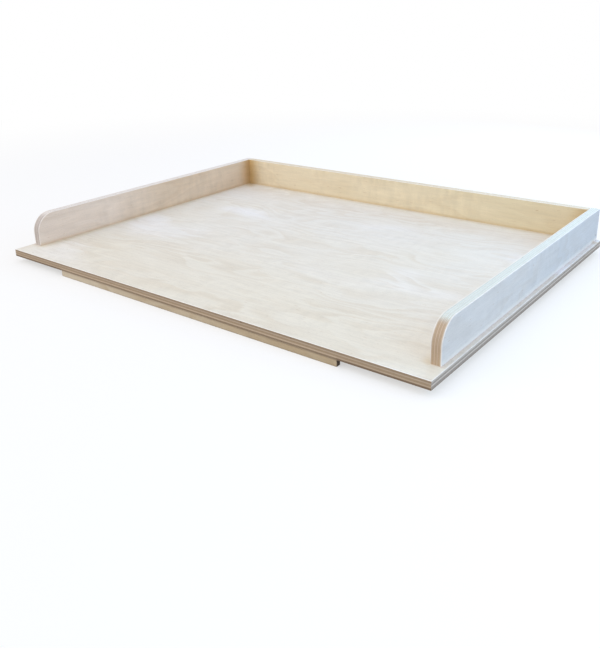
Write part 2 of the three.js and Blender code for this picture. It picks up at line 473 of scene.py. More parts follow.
# %% [markdown]
# ## Where the fasteners go
#
# The CAD nodes say where each fastener lies and how long it is, so neither is typed in again. Screws
# and pins are driven straight up, and the nails go in from the outer side of each side wall. A
# setting is the matrix that takes a shape drawn with its head at the origin and its point along +Z
# to that place.

# %% Settings of the fasteners
UP = Vector((0.0, 0.0, 1.0))
TO_RIGHT = Vector((1.0, 0.0, 0.0))


def setting(node, direction):
    low, high = node_box(node)
    reach = Vector([abs(part) for part in direction])
    half = (high - low).dot(reach) / 2
    head = (low + high) / 2 - direction * half
    turn = UP.rotation_difference(direction).to_matrix().to_4x4()
    return Matrix.Translation(head) @ turn


screw_settings = {name: setting(name, UP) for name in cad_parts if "_screw_" in name}
pin_settings = {name: setting(name, UP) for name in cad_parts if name.startswith("stop_pin_")}
nail_settings = {}
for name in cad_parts:
    if name.startswith("left_corner_nail_"):
        nail_settings[name] = setting(name, TO_RIGHT)
    if name.startswith("right_corner_nail_"):
        nail_settings[name] = setting(name, -TO_RIGHT)
print(len(screw_settings), "screws,", len(pin_settings), "pins,", len(nail_settings), "nails")

# %% Lengths of the fasteners
def longest_side(node):
    low, high = node_box(node)
    return round(max(high - low), 2)


SCREW_LENGTH = longest_side("left_wall_screw_1")
PIN_LENGTH = longest_side("stop_pin_1")
NAIL_LENGTH = longest_side("left_corner_nail_1")
print("screw, pin and nail in mm:", SCREW_LENGTH, PIN_LENGTH, NAIL_LENGTH)

# %% All bores as one tool
BORE_SIDES = 40
DRILL_START = -2.0
SCREW_BORE = [(0.0, DRILL_START), (6.1, DRILL_START), (4.1, 0.0), (4.1, 0.7), (2.1, 2.7),
              (2.1, SCREW_LENGTH - 5.5), (0.0, SCREW_LENGTH + 0.4)]
PIN_BORE = [(0.0, DRILL_START), (1.75, DRILL_START), (1.68, 0.9), (0.86, 0.95),
            (0.86, PIN_LENGTH - 2.1), (0.0, PIN_LENGTH + 0.3)]
NAIL_BORE = [(0.0, DRILL_START), (1.65, DRILL_START), (1.56, 1.3), (0.96, 1.35),
             (0.96, NAIL_LENGTH - 2.8), (0.0, NAIL_LENGTH + 0.3)]

bores = bmesh.new()
for outline, settings in ((SCREW_BORE, screw_settings), (PIN_BORE, pin_settings),
                          (NAIL_BORE, nail_settings)):
    drill = turned(outline, BORE_SIDES)
    for place in settings.values():
        add_copy(bores, drill, place)
    drill.free()
print("bore tool has", len(bores.faces), "faces")

# %% [markdown]
# ## Finishing a piece
#
# A finished piece is welded, its faces are turned outwards, and it is scaled to metres. It rides on
# the board's only body and stands for its CAD node. Plain smooth shading would make the wide faces
# look pillowed where they run into their sanded edges, so weighted normals keep them flat.

# %% From shape to piece
CREASE = 38.0


def finish_piece(shape, name, node):
    bmesh.ops.remove_doubles(shape, verts=shape.verts, dist=WELD)
    bmesh.ops.recalc_face_normals(shape, faces=shape.faces)
    bmesh.ops.scale(shape, vec=(MM, MM, MM), verts=shape.verts)
    mesh = bpy.data.meshes.new(name)
    shape.to_mesh(mesh)
    shape.free()
    mesh.shade_smooth()
    mesh.set_sharp_from_angle(angle=radians(CREASE))
    piece = bpy.data.objects.new(name, mesh)
    scene.collection.objects.link(piece)
    even = piece.modifiers.new("even_shading", "WEIGHTED_NORMAL")
    even.keep_sharp = True
    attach(piece, "root")
    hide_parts(node)
    print(name, "has", len(mesh.polygons), "faces")
    return piece


print("edges stay sharp from", CREASE, "degrees on")

# %% [markdown]
# ## The work panel
#
# The panel is one sheet of plywood with all its edges sanded, the upper ones and the corners first
# and then the lower ones. The screws come up through it from the underside, so its bores are
# countersunk there.

# %% Work panel
panel_shape = sawn_block(panel_low, panel_high)
sand(panel_shape, [edge for edge in panel_shape.edges if not lies_at(edge, Z, panel_low.z)])
sand(panel_shape, [edge for edge in panel_shape.edges if lies_at(edge, Z, panel_low.z)])
cut(panel_shape, bores)
work_panel = finish_piece(panel_shape, "work_panel_plywood", "work_panel")

# %% [markdown]
# ## The side walls
#
# Each side wall is a strip of thicker plywood whose front top corner was sawn to a round. A Boolean
# could cut it, but a bevel with a large radius and many steps leaves a cleaner mesh. After that,
# every edge is sanded except round the foot, which is glued flat to the panel, and except the lines
# that make up the round.

# %% Side walls
CORNER_RADIUS = 32.0
CORNER_STEPS = 28


def side_wall(low, high):
    shape = sawn_block(low, high)
    corner = [edge for edge in shape.edges if lies_at(edge, Y, low.y) and lies_at(edge, Z, high.z)]
    sand(shape, corner, CORNER_RADIUS, CORNER_STEPS)
    open_edges = []
    for edge in shape.edges:
        on_side = lies_at(edge, X, low.x) or lies_at(edge, X, high.x)
        at_foot = lies_at(edge, Z, low.z)
        rear_top = lies_at(edge, Y, high.y) and lies_at(edge, Z, high.z)
        if (on_side and not at_foot) or rear_top:
            open_edges.append(edge)
    sand(shape, open_edges)
    cut(shape, bores)
    return shape


left_shape = side_wall(left_low, left_high)
left_wall = finish_piece(left_shape, "left_wall_plywood", "left_wall")
right_shape = side_wall(right_low, right_high)
right_wall = finish_piece(right_shape, "right_wall_plywood", "right_wall")

# %% [markdown]
# ## The rear wall
#
# The rear wall is caught between the side walls. Its ends and its foot stay square for the glue,
# so only its two long top edges are sanded.

# %% Rear wall
rear_shape = sawn_block(rear_low, rear_high)
long_top_edges = []
for edge in rear_shape.edges:
    runs_along = abs(edge.verts[0].co.x - edge.verts[1].co.x) > CLOSE
    if runs_along and lies_at(edge, Z, rear_high.z):
        long_top_edges.append(edge)
sand(rear_shape, long_top_edges)
cut(rear_shape, bores)
rear_wall = finish_piece(rear_shape, "rear_wall_plywood", "rear_wall")

# %% [markdown]
# ## The stop batten
#
# The batten hooks over the table's front edge. Its top is pinned flat against the panel, and its
# other edges are sanded a little rounder than those of the panel.

# %% Stop batten
STOP_ARRIS = 0.8

stop_shape = sawn_block(stop_low, stop_high)
open_edges = [edge for edge in stop_shape.edges if not lies_at(edge, Z, stop_high.z)]
sand(stop_shape, open_edges, STOP_ARRIS)
cut(stop_shape, bores)
stop_batten = finish_piece(stop_shape, "stop_batten_plywood", "stop_batten")
bores.free()

# %% [markdown]
# ## Wood screws
#
# A wood screw has a flat countersunk head, a plain neck, a thread that winds down to a point, and a
# cross recess for the driver. A bump could fake the thread, but the mesh of each screw is kept too,
# so the thread is real. The body is turned. The thread is a small triangle spun round many times
# while it climbs, and its end is drawn in to follow the point. Two tapered blocks cut the recess, and
# body and thread are joined to one solid.

# %% Screw thread
POINT_START = SCREW_LENGTH - 6.0
THREAD_START = 9.0
THREAD_END = SCREW_LENGTH - 1.4
THREAD_PITCH = 1.8
THREAD_ROOT = 1.2
THREAD_CREST = 1.98
THREAD_HALF_FOOT = 0.42
STEPS_PER_TURN = 18


def screw_thread():
    thread = bmesh.new()
    section = [(THREAD_ROOT, -THREAD_HALF_FOOT), (THREAD_CREST, 0.0), (THREAD_ROOT, THREAD_HALF_FOOT)]
    corners = [thread.verts.new((radius, 0.0, THREAD_START + rise)) for radius, rise in section]
    thread.faces.new(corners)
    turns = (THREAD_END - THREAD_START) / THREAD_PITCH
    steps = int(turns * STEPS_PER_TURN)
    climb = Vector((0.0, 0.0, THREAD_PITCH / STEPS_PER_TURN))
    bmesh.ops.spin(thread, geom=thread.verts[:] + thread.edges[:] + thread.faces[:],
                   cent=(0.0, 0.0, 0.0), axis=(0.0, 0.0, 1.0), dvec=climb,
                   angle=2 * pi * steps / STEPS_PER_TURN, steps=steps, use_duplicate=False)
    for vert in thread.verts:
        if vert.co.z > POINT_START:
            narrow = (SCREW_LENGTH - vert.co.z) / (SCREW_LENGTH - POINT_START)
            vert.co.x *= narrow
            vert.co.y *= narrow
    bmesh.ops.recalc_face_normals(thread, faces=thread.faces)
    return thread


thread = screw_thread()
print("one thread has", len(thread.faces), "faces")

# %% Cross recess
RECESS_LENGTH = 4.6
RECESS_WIDTH = 1.05
RECESS_START = -1.0
RECESS_DEPTH = 2.3
RECESS_TAPER = Vector((0.36, 0.6, 1.0))


def recess_arm(quarter_turns):
    low = Vector((-RECESS_LENGTH / 2, -RECESS_WIDTH / 2, RECESS_START))
    high = Vector((RECESS_LENGTH / 2, RECESS_WIDTH / 2, RECESS_DEPTH))
    arm = sawn_block(low, high)
    deep = [vert for vert in arm.verts if vert.co.z > 0.0]
    bmesh.ops.scale(arm, vec=RECESS_TAPER, verts=deep)
    turn = Matrix.Rotation(quarter_turns * pi / 2, 3, "Z")
    bmesh.ops.rotate(arm, matrix=turn, verts=arm.verts)
    return arm


print("recess depth in mm:", RECESS_DEPTH)

# %% One screw
SCREW_SIDES = 36
SCREW_CORE = 1.25
SCREW_OUTLINE = [(0.0, 0.06), (3.2, 0.06), (3.72, 0.0), (3.94, 0.1), (4.0, 0.3), (4.0, 0.6),
                 (3.2, 1.35), (2.1, 2.5), (1.6, 3.3), (1.45, 4.2), (1.45, 8.4), (SCREW_CORE, 9.2),
                 (SCREW_CORE, POINT_START), (0.0, SCREW_LENGTH)]

screw = turned(SCREW_OUTLINE, SCREW_SIDES)
for quarter_turns in (0, 1):
    arm = recess_arm(quarter_turns)
    cut(screw, arm)
    arm.free()
join(screw, thread)
thread.free()
print("one screw has", len(screw.faces), "faces")

# %% Set the screws, each turned further than the last one
RADIANS_PER_SCREW = 1.13

screws = []
for index, (node, place) in enumerate(screw_settings.items()):
    shape = bmesh.new()
    add_copy(shape, screw, place @ Matrix.Rotation(index * RADIANS_PER_SCREW, 4, "Z"))
    screws.append(finish_piece(shape, node + "_steel", node))
screw.free()

# %% [markdown]
# ## Pins and nails
#
# Panel pins and nails are drawn wire with a struck head. The head is a little domed, the wire below
# it carries the grip rings of the nail machine, and the point is short. All of that is a turned
# outline, so one spin makes each of them.

# %% Pin and nail
WIRE_SIDES = 28
GRIP_RINGS = 5
GRIP_START = 0.4
GRIP_STEP = 0.7
GRIP_DEPTH = 0.08
GRIP_SLOPE = 0.12


def wire_nail(head, wire_radius, length, point_length):
    outline = list(head)
    for ring in range(GRIP_RINGS):
        height = head[-1][1] + GRIP_START + ring * GRIP_STEP
        outline.append((wire_radius, height))
        outline.append((wire_radius - GRIP_DEPTH, height + GRIP_SLOPE))
        outline.append((wire_radius, height + 2 * GRIP_SLOPE))
    outline.append((wire_radius, length - point_length))
    outline.append((0.0, length))
    return turned(outline, WIRE_SIDES)


PIN_HEAD = [(0.0, 0.0), (0.8, 0.03), (1.35, 0.12), (1.55, 0.28), (1.6, 0.45), (1.55, 0.7),
            (1.0, 0.8), (0.8, 1.0)]
NAIL_HEAD = [(0.0, 0.0), (0.8, 0.02), (1.25, 0.1), (1.45, 0.26), (1.5, 0.5), (1.4, 0.9),
             (1.0, 1.2), (0.9, 1.45)]
pin = wire_nail(PIN_HEAD, wire_radius=0.8, length=PIN_LENGTH, point_length=2.4)
nail = wire_nail(NAIL_HEAD, wire_radius=0.9, length=NAIL_LENGTH, point_length=3.0)
print("a pin has", len(pin.faces), "faces and a nail", len(nail.faces))

# %% Set the pins and nails
nails = []
for source, settings in ((pin, pin_settings), (nail, nail_settings)):
    for node, place in settings.items():
        shape = bmesh.new()
        add_copy(shape, source, place)
        nails.append(finish_piece(shape, node + "_steel", node))
    source.free()

# %% [markdown]
# ## How a sheet of plywood is laid up
#
# Plywood is a stack of veneers glued with the grain turned by a quarter from ply to ply. Faces and
# edges could have a material each, but their grain wouldn't meet. So the finish is a solid pattern:
# from a point's depth in the sheet it works out which ply the point lies in, which way that ply's
# grain runs, and how far the next glue line is. The same pattern then shows wide figure on the faces
# and stripes on every sawn edge, with no seam between them.

# %% What is known of a sheet
class Sheet:
    """A plywood piece's place, lay-up and colours. Its grain runs along in the outer plies."""

    def __init__(self, node, along, across, through, fade, plies, veneer, seed, figure,
                 low_face, high_face, long_edges, end_edges, fade_span=(0.0, 1.0),
                 on_table=False, has_cool_light=False):
        self.low, self.high = node_box(node)
        self.thickness = self.high[through] - self.low[through]
        self.core = (self.thickness - 2 * veneer) / (plies - 2)
        self.along = along
        self.across = across
        self.through = through
        self.fade = fade
        self.plies = plies
        self.veneer = veneer
        self.seed = seed
        self.figure = figure
        self.low_face = low_face
        self.high_face = high_face
        self.long_edges = long_edges
        self.end_edges = end_edges
        self.fade_span = fade_span
        self.on_table = on_table
        self.has_cool_light = has_cool_light
        print(node, "has", plies, "plies, the inner ones", round(self.core, 2), "mm thick")


# %% Plies and grain directions
WANDER = 0.5
WANDER_LENGTH = 60.0
WANDER_DEPTH = 9.0


def lay_up(start, sheet):
    """Signals that every part of the finish reads, by name."""
    place = start.node("TexCoord", output="Object")
    metres = start.node("SeparateXYZ", inputs={0: place}, output=(X, Y, Z))
    coordinates = [part * (1 / MM) for part in metres]
    facing = start.node("TexCoord", output="Normal")
    normal = [abs(part) for part in start.node("SeparateXYZ", inputs={0: facing}, output=(X, Y, Z))]
    along = coordinates[sheet.along]
    across = coordinates[sheet.across]
    depth = coordinates[sheet.through] - sheet.low[sheet.through]
    uneven = point(along / WANDER_LENGTH, across / WANDER_LENGTH, depth / WANDER_DEPTH).swing(1.0)
    stack = (depth - sheet.veneer + uneven * WANDER) / sheet.core + 1.0
    layer = stack.floor().larger(0.0).smaller(sheet.plies - 1)
    cross = layer.remainder(2.0)
    within = stack - layer
    middle = (sheet.plies - 1) / 2
    from_middle = abs(layer - middle)
    return {
        "coordinates": coordinates,
        "along": along,
        "across": across,
        "depth": depth,
        "layer": layer,
        "cross": cross,
        "grain": cross.choose(along, across),
        "side": cross.choose(across, along),
        "to_glue": within.smaller(1.0 - within) * sheet.core,
        "from_middle": from_middle,
        "outer": from_middle > middle - 0.5,
        "upper": depth > sheet.thickness / 2,
        "faces_up": normal[Z],
        "faces_along": normal[sheet.along],
        "faces_through": normal[sheet.through],
    }


print("glue lines wander by up to", WANDER / 2, "mm")

# %% [markdown]
# ## Figure on the faces
#
# A face veneer is peeled from a turning log, so its growth rings show as long wavy contour lines
# that close into eyes. Contours of a noise that is stretched along the grain look the same and don't
# repeat, as a picture of veneer would. A slower noise lets them meander. Each line darkens slowly and
# ends sharply, as the late wood of a year does.

# %% Places for noise, in millimetres
PLY_SHIFT = 5.0


def on_grain(ply, length, width, third, side=None):
    """Noise read here has patches of this length along the grain and this width across it."""
    across_grain = ply["side"] if side is None else side
    return point(ply["grain"] / length, across_grain / width, third)


def on_sheet(ply, length, width, third):
    """The same for patches that don't follow the grain of single plies."""
    return point(ply["along"] / length, ply["across"] / width, third)


def by_depth(ply, thickness):
    """A third coordinate that changes with the depth and from ply to ply."""
    return ply["depth"] / thickness + ply["layer"] * PLY_SHIFT


def own_log(ply, sheet, step, share=1.0):
    """A third coordinate that changes from ply to ply and from sheet to sheet."""
    return ply["layer"] * step + sheet.seed * share


print("fine noise moves on by", PLY_SHIFT, "from ply to ply")

# %% Growth lines
RING_COUNT = 9.0
RING_SPACING = 80.0
MEANDER = 110.0
DARKENS = (0.05, 0.80)
ENDS = (0.80, 1.0)
CLEAR = (0.36, 0.66)
FAINTEST = 0.30


def growth_lines(ply, sheet):
    sway = on_grain(ply, length=210.0, width=130.0, third=sheet.seed + 2.0).swing(1.0)
    side = ply["side"] + sway * MEANDER
    third = own_log(ply, sheet, step=3.7)
    log = on_grain(ply, length=260.0, width=74.0, third=third, side=side).noise(3.0, 0.48)
    year = (log * RING_COUNT + side / RING_SPACING).fraction()
    line = year.ramp(*DARKENS) * (1.0 - year.ramp(*ENDS))
    strength = on_grain(ply, length=170.0, width=60.0, third=sheet.seed + 9.0).noise(1.0)
    return line * strength.ramp(*CLEAR).choose(FAINTEST, 1.0)


print("growth lines without noise would lie", RING_SPACING, "mm apart")

# %% [markdown]
# ## Fibres and small marks
#
# Finer noise gives what a hand lens shows: fibres and wider streaks along the grain, patches of
# curl across it that shimmer, the fine lines of cut pores, and the small brown pith flecks that
# birch always has. All of them are one kind of noise with other lengths and widths.

# %% Fibres, streaks, curl, pores and flecks
CURLY = (0.40, 0.60)
PORES = (0.60, 0.76)
FLECKS = (0.79, 0.86)


def fibres(ply):
    return on_grain(ply, length=26.0, width=0.75, third=by_depth(ply, 0.75)).swing(3.0, 0.62)


def streaks(ply):
    return on_grain(ply, length=75.0, width=5.5, third=by_depth(ply, 2.0)).swing(2.0, 0.55)


def curl(ply, sheet):
    third = own_log(ply, sheet, step=4.1, share=1.3)
    waves = on_grain(ply, length=13.0, width=30.0, third=third).swing(2.0, 0.55)
    patch = on_grain(ply, length=150.0, width=80.0, third=sheet.seed + 6.0).noise(1.0)
    return waves * patch.ramp(*CURLY)


def pores(ply):
    return on_grain(ply, length=3.6, width=0.32, third=by_depth(ply, 0.32)).noise(0.0).ramp(*PORES)


def flecks(ply, sheet):
    third = own_log(ply, sheet, step=2.3, share=1.7)
    return on_grain(ply, length=11.0, width=1.7, third=third).noise(0.0).ramp(*FLECKS)


print("pores start where their noise passes", PORES[0], "and flecks at", FLECKS[0])

# %% Face colour
LATEWOOD = (0.78, 0.69, 0.58, 1.0)
FLECK = (0.66, 0.50, 0.36, 1.0)
FLECK_SHARE = 0.55
DRIFT = 0.9
FACE_FIBRES = 0.24
FACE_STREAKS = 0.18
CURL_ON_TABLE = 0.16
CURL_ON_WALLS = 0.26
PORE_SHADE = 0.10


def face_colour(ply, sheet, marks):
    size = sheet.high[sheet.fade] - sheet.low[sheet.fade]
    place = (ply["coordinates"][sheet.fade] - sheet.low[sheet.fade]) / size
    drift = on_sheet(ply, length=330.0, width=210.0, third=sheet.seed + 4.0).swing(2.0)
    fade = (place + drift * DRIFT).ramp(*sheet.fade_span)
    tone = ply["upper"].mix(fade.mix(*sheet.low_face), fade.mix(*sheet.high_face))
    tone = tone.tinted((marks["growth"] * sheet.figure).mix(WHITE, LATEWOOD))
    tone = tone.tinted((marks["flecks"] * FLECK_SHARE).mix(WHITE, FLECK))
    curl_level = CURL_ON_TABLE if sheet.on_table else CURL_ON_WALLS
    level = 1.0 + marks["fibres"] * FACE_FIBRES + marks["streaks"] * FACE_STREAKS
    return tone.scaled(level + marks["curl"] * curl_level - marks["pores"] * PORE_SHADE)


print("fibres change a face by up to", FACE_FIBRES / 2)

# %% [markdown]
# ## Sawn edges
#
# Where the sheet is sawn, a ply that is cut along its grain stays fairly pale, and one that is cut
# across shows its end grain, which drinks the light and looks brown. The glue lines are dark and
# thin. Each ply comes from another log, so each gets its own tone, and here and there a ply has a
# short gap. The panel and the batten have a paler ply in the middle, and on the walls the face
# veneers keep more of their own colour.

# %% Edge colour
END_GRAIN = (0.26, 0.66)
GLUE = (0.40, 0.29, 0.20, 1.0)
GLUE_SHARE = 0.62
GLUE_LINE = (0.05, 0.20)
GAP = (0.16, 0.11, 0.08, 1.0)
GAP_SHARE = 0.75
GAP_LENGTH = 9.0
GAPS = (0.83, 0.87)
INSIDE_PLY = (0.15, 0.35)
PLY_TONES = (0.90, 1.10)
PALE_MIDDLE = 0.14
EDGE_FIBRES = 0.30
EDGE_STREAKS = 0.22
VENEER_ON_TABLE = 0.40
VENEER_ON_WALLS = 0.80


def edge_colour(ply, sheet, marks, face):
    long_edge = ply["cross"].mix(*sheet.long_edges)
    end_edge = ply["cross"].mix(*sheet.end_edges)
    end_grain = ply["faces_along"].ramp(*END_GRAIN)
    chance = {"W": own_log(ply, sheet, step=1.37)}
    level = ply["layer"].node("TexWhiteNoise", {"noise_dimensions": "1D"}, chance).choose(*PLY_TONES)
    if sheet.on_table:
        level = level + (1.0 - ply["from_middle"].smaller(1.0)) * PALE_MIDDLE
    level = level + marks["fibres"] * EDGE_FIBRES + marks["streaks"] * EDGE_STREAKS
    tone = end_grain.mix(long_edge, end_edge).scaled(level - marks["pores"] * PORE_SHADE)
    glue = 1.0 - ply["to_glue"].ramp(*GLUE_LINE)
    run = end_grain.choose(ply["along"], ply["across"])
    gaps = point(run / GAP_LENGTH, ply["layer"] * 7.3, sheet.seed * 2.1).noise(0.0).ramp(*GAPS)
    gaps = gaps * ply["to_glue"].ramp(*INSIDE_PLY)
    tone = tone.tinted((glue * GLUE_SHARE).mix(WHITE, GLUE)).tinted((gaps * GAP_SHARE).mix(WHITE, GAP))
    veneer_share = VENEER_ON_TABLE if sheet.on_table else VENEER_ON_WALLS
    return (ply["outer"] * veneer_share).mix(tone, face)


print("tones of single plies run from", PLY_TONES[0], "to", PLY_TONES[1])

# %% [markdown]
# ## Wear and painted highlights along the arrises
#
# Hands and cloths polish the upper edges first, so these arrises are a little smoother, and they
# are painted paler, partly as wear and partly as a painted highlight. Pointiness could find the
# edges, but it needs a dense mesh, so the distance to the arris is worked out instead. A point lies
# on an arris where it lies on two faces at once, so that distance is the larger one of the distances
# to these faces. The paler colour lies more on top of an arris than below it, so depths count
# several times. On a side wall the front corner is round, so the distance to its outline is measured
# there, and the foot outside is painted as pale as the arrises.

# %% Distance to the nearest arris
DOWN_SIDE = 4.0
UP_FROM_FOOT = 0.25
FOOT_DEPTH = 1.2
FAR_AWAY = 200.0


def to_face(coordinate, low, high):
    return (coordinate - low).smaller(high - coordinate)


def arris_of_panel(ply, sheet):
    x, y, z = ply["coordinates"]
    to_side = to_face(x, sheet.low.x, sheet.high.x)
    to_front = to_face(y, sheet.low.y, sheet.high.y)
    return to_side.smaller(to_front).larger((sheet.high.z - z) * DOWN_SIDE)


def arris_of_rear_wall(ply, sheet):
    x, y, z = ply["coordinates"]
    return to_face(y, sheet.low.y, sheet.high.y).larger((sheet.high.z - z) * DOWN_SIDE)


def arris_of_side_wall(ply, sheet):
    x, y, z = ply["coordinates"]
    ahead = (sheet.low.y + CORNER_RADIUS - y).larger(0.0)
    above = (z - (sheet.high.z - CORNER_RADIUS)).larger(0.0)
    outline = CORNER_RADIUS - (ahead * ahead + above * above).root()
    upper = to_face(x, sheet.low.x, sheet.high.x).larger(outline * DOWN_SIDE)
    inside = abs(x) < right_high.x - FOOT_DEPTH
    foot = (z - sheet.low.z) * UP_FROM_FOOT + inside * FAR_AWAY
    return upper.smaller(foot)


print("below an arris, depths count", DOWN_SIDE, "times")

# %% [markdown]
# ## Painted shade in the corners
#
# The corners between the walls and the panel are painted darker, as painted shade. An Ambient
# Occlusion node could find the corners, but it would treat all of them alike. A corner is a line
# where two faces meet, and a point on one of these faces lies as far from the line as from the other
# face. The distance to the line is therefore the larger one of the two. The painted shade is widest
# and strongest in the upright corners, more so in the left one than in the right one. It stays on
# and above the work face. On the narrow ledge outside the walls the painted shade is only grey.

# %% Painted shade by the distance to the nearest corner
UPRIGHT_REACH = 40.0
UPRIGHT_RAGGED = 8.0
LEFT_TO_RIGHT = (-200.0, 200.0)
UPRIGHT_SHARES = (0.80, 0.45)
FOOT_REACH = 18.0
FOOT_RAGGED = 5.0
FOOT_SHARE = 0.34
UP_WALL = 2.6
LEDGE_REACH = 11.0
LEDGE_RAGGED = 3.0
LEDGE_SHARE = 0.50
OFF_LEDGE = 9.0
PAST_WALL = 2.0
SKIN = 1.0


def on_this_side(distance):
    """A distance from a face, made large on the far side of that face."""
    return abs(distance) + (distance < -SKIN) * FAR_AWAY


def painted_corner_shade(ply, ragged):
    """The shares of painted shade: brown inside the walls, and grey on the ledge outside."""
    x, y, z = ply["coordinates"]
    ahead = (left_low.y - y).larger(0.0) * PAST_WALL
    side = on_this_side(to_face(x, left_high.x, right_low.x)) + ahead
    outer = on_this_side(abs(x) - right_high.x) + ahead
    rear = on_this_side(rear_low.y - y)
    foot = on_this_side(z - panel_high.z)
    to_upright = side.larger(rear) + ragged * UPRIGHT_RAGGED
    upright = (1.0 - to_upright.ramp(0.0, UPRIGHT_REACH)) * (z > panel_high.z - SKIN)
    upright = upright * x.ramp(*LEFT_TO_RIGHT).choose(*UPRIGHT_SHARES)
    to_foot = side.smaller(rear).larger(foot * UP_WALL) + ragged * FOOT_RAGGED
    inner_foot = 1.0 - to_foot.ramp(0.0, FOOT_REACH)
    to_ledge = outer + foot * OFF_LEDGE + ragged * LEDGE_RAGGED
    ledge = 1.0 - to_ledge.ramp(0.0, LEDGE_REACH)
    return upright.larger(inner_foot * FOOT_SHARE), ledge * LEDGE_SHARE


print("stain reaches", UPRIGHT_REACH, "mm from the upright corners")

# %% [markdown]
# ## Painted shade along the lower edges
#
# The panel and the batten are painted darker towards their lower edges, as painted shade under
# the board. So is the joint between the two, as a painted contact shadow, but the painted shade
# there is narrow and thin.

# %% Painted shade by the height above the lower edge
LOW_SHADE_REACH = 5.8
LOW_SHADE_RAGGED = 1.6
COVERED_REACH = 2.6
COVERED_SHARE = 0.55
BLUR = 3.0
SIDEWAYS = (0.6, 0.95)


# Painted shade: darker towards the lower edges and at the joint.
def painted_low_shade(ply, sheet, ragged):
    x, y, z = ply["coordinates"]
    upright = 1.0 - ply["faces_up"].ramp(*SIDEWAYS)
    from_edge = (z - sheet.low.z).smaller(abs(z - panel_low.z)) + ragged * LOW_SHADE_RAGGED
    beside = (abs(x) - stop_high.x).ramp(-BLUR, BLUR).larger(y.ramp(-BLUR, BLUR))
    reach = beside.choose(COVERED_REACH, LOW_SHADE_REACH)
    low_shade = 1.0 - (from_edge / reach).ramp(0.0, 1.0)
    return low_shade * upright * beside.choose(COVERED_SHARE, 1.0)


print("soil reaches up to", LOW_SHADE_REACH, "mm from a lower edge")

# %% [markdown]
# ## Painted light on the work face
#
# Wide patches of the work face are painted paler and bluer, as painted pools of cool light. A slow
# noise draws them. Its third coordinate picks one of many such patterns, and this one lights the
# front left corner and a place in front of the right wall.

# %% Painted patches of cool light
COOL_LIGHT_PATTERN = 430.86
COOL_LIGHT_FROM = (0.56, 0.72)


# Painted light: pools of cool light on the work face.
def painted_cool_light(ply):
    patches = on_sheet(ply, length=240.0, width=130.0, third=COOL_LIGHT_PATTERN).noise(1.0)
    work_face = ply["upper"] * ply["faces_up"].ramp(*SIDEWAYS)
    return patches.ramp(*COOL_LIGHT_FROM) * work_face


print("bleach starts where its noise passes", COOL_LIGHT_FROM[0])

# %% [markdown]
# ## The plywood finish
#
# The finish joins the face and the edge by the way the surface faces, and lays wear with painted
# highlights, painted cool light and painted shade over both. Sanded birch is dull, and its end grain
# is duller still. A fine bump from the same fibres and pores breaks up the light.

# %% Wear, painted highlights, painted cool light and painted shade
# Paler arrises: partly wear, partly painted highlight.
WORN_AND_HIGHLIT = (0.95, 0.92, 0.88, 1.0)
WORN_AND_HIGHLIT_SHARE = 0.68
WEAR_AND_HIGHLIGHT_FADE = (0.5, 2.2)
WEAR_AND_HIGHLIGHT_RAGGED = 1.6
WEAR_POLISH = 0.08
# Painted cool light on the work face.
COOL_LIGHT_TINT = (1.10, 1.14, 1.25, 1.0)
COOL_LIGHT_SHARE = 0.8
# Painted shade along the lower edges and at the joint.
LOW_SHADE_COLOUR = (0.58, 0.53, 0.49, 1.0)
# Painted shade: brown in the corners inside the walls, grey on the ledge outside.
CORNER_SHADE_COLOUR = (0.72, 0.53, 0.23, 1.0)
LEDGE_SHADE_COLOUR = (0.70, 0.57, 0.57, 1.0)


def wear_light_and_shade(colour, roughness, ply, sheet, arris):
    """Colour and roughness of new wood, with wear, painted highlights, painted cool light and painted
    shade laid over them.
    """
    ragged = on_sheet(ply, length=14.0, width=14.0, third=ply["depth"] / 5.0).swing(3.0, 0.6)
    # Paler arrises, partly wear and partly painted highlight.
    if arris:
        wear_and_highlight = 1.0 - (arris(ply, sheet) + ragged * WEAR_AND_HIGHLIGHT_RAGGED).ramp(*WEAR_AND_HIGHLIGHT_FADE)
        colour = (wear_and_highlight * WORN_AND_HIGHLIT_SHARE).mix(colour, WORN_AND_HIGHLIT)
        roughness = roughness - wear_and_highlight * WEAR_POLISH
    # Painted pools of cool light on the work face.
    if sheet.has_cool_light:
        colour = colour.tinted((painted_cool_light(ply) * COOL_LIGHT_SHARE).mix(WHITE, COOL_LIGHT_TINT))
    # Painted shade along the lower edges of the panel and the batten.
    if sheet.on_table:
        colour = colour.tinted(painted_low_shade(ply, sheet, ragged).mix(WHITE, LOW_SHADE_COLOUR))
    # Painted shade in the corners and on the ledge.
    shade_in_corners, shade_on_ledge = painted_corner_shade(ply, ragged)
    colour = colour.tinted(shade_in_corners.mix(WHITE, CORNER_SHADE_COLOUR)).tinted(shade_on_ledge.mix(WHITE, LEDGE_SHADE_COLOUR))
    return colour, roughness


print("wear ends", WEAR_AND_HIGHLIGHT_FADE[1], "mm from an arris")

# %% Ending a finish
def end_finish(finish, colour, roughness, metallic, height, strength, distance):
    """Ends a material with a principled shader and a fine bump."""
    start = Signal(finish.node_tree)
    bump_inputs = {"Strength": strength, "Distance": distance, "Height": height}
    relief = start.node("Bump", inputs=bump_inputs)
    inputs = {"Base Color": colour, "Roughness": roughness, "Metallic": metallic, "Normal": relief}
    shader = start.node("BsdfPrincipled", inputs=inputs)
    start.node("OutputMaterial", inputs={"Surface": shader}, output=None)
    print(finish.name, "uses", len(finish.node_tree.nodes), "nodes")


# %% Plywood material
SAWN = (0.35, 0.80)
SANDED = 0.47
SAWN_ROUGHER = 0.12
FIBRE_ROUGHNESS = 0.16
BUMP_STRENGTH = 0.30
BUMP_DISTANCE = 0.00025
FIBRES_STAND = 0.6
PORES_SINK = 0.5
GROWTH_SINKS = 0.2


